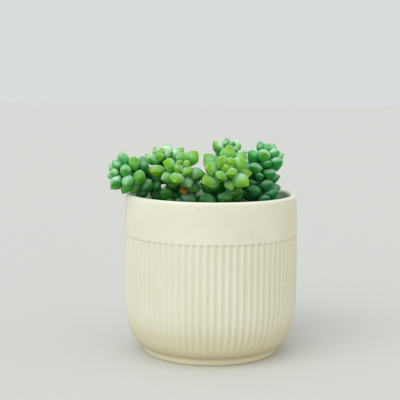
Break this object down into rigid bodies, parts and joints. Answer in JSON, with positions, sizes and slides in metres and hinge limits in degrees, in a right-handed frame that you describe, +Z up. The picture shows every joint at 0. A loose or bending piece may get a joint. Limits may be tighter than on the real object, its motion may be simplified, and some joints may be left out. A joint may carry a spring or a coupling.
{
  "type": "potted burro's tail plant",
  "caption": "Small trailing succulent with plump blunt leaves in tight spirals, rooted in potting mix in a round fluted ceramic pot that stands on a flat foot.",
  "frame": {"origin": "middle of the pot's foot, on the surface that it stands on", "axes": "+Z up along the pot's axis, -Y towards the front, +X to the right as seen from the front"},
  "size_m": [0.1201, 0.11, 0.1353],
  "materials": {
    "glaze": "satin cream glaze",
    "mix": "coarse dark bark and peat mix, matte",
    "stem": "living green stem and young leaves, satin",
    "leaf": "plump waxy leaf, green with a pale bloom"
  },
  "bodies": {
    "root": {"leaf_front_left_1": "leaf", "leaf_front_left_2": "leaf", "leaf_front_left_3": "leaf", "leaf_front_left_4": "leaf", "leaf_front_left_5": "leaf", "leaf_front_left_6": "leaf", "leaf_front_right_1": "leaf", "leaf_front_right_2": "leaf", "leaf_front_right_3": "leaf", "leaf_front_right_4": "leaf", "leaf_front_right_5": "leaf", "leaf_front_right_6": "leaf", "leaf_left_1": "leaf", "leaf_left_2": "leaf", "leaf_left_3": "leaf", "leaf_left_4": "leaf", "leaf_left_5": "leaf", "leaf_left_6": "leaf", "leaf_rear_left_1": "leaf", "leaf_rear_left_2": "leaf", "leaf_rear_left_3": "leaf", "leaf_rear_left_4": "leaf", "leaf_rear_left_5": "leaf", "leaf_rear_right_1": "leaf", "leaf_rear_right_2": "leaf", "leaf_rear_right_3": "leaf", "leaf_rear_right_4": "leaf", "leaf_rear_right_5": "leaf", "leaf_right_1": "leaf", "leaf_right_2": "leaf", "leaf_right_3": "leaf", "leaf_right_4": "leaf", "leaf_right_5": "leaf", "leaf_right_6": "leaf", "leaf_upper_left_1": "leaf", "leaf_upper_left_2": "leaf", "leaf_upper_left_3": "leaf", "leaf_upper_left_4": "leaf", "leaf_upper_left_5": "leaf", "leaf_upper_middle_1": "leaf", "leaf_upper_middle_2": "leaf", "leaf_upper_middle_3": "leaf", "leaf_upper_middle_4": "leaf", "leaf_upper_middle_5": "leaf", "leaf_upper_middle_6": "leaf", "pot": "glaze", "potting_mix": "mix", "stem_front_left": "stem", "stem_front_right": "stem", "stem_left": "stem", "stem_rear_left": "stem", "stem_rear_right": "stem", "stem_right": "stem", "stem_upper_left": "stem", "stem_upper_middle": "stem"}
  },
  "joints": []
}
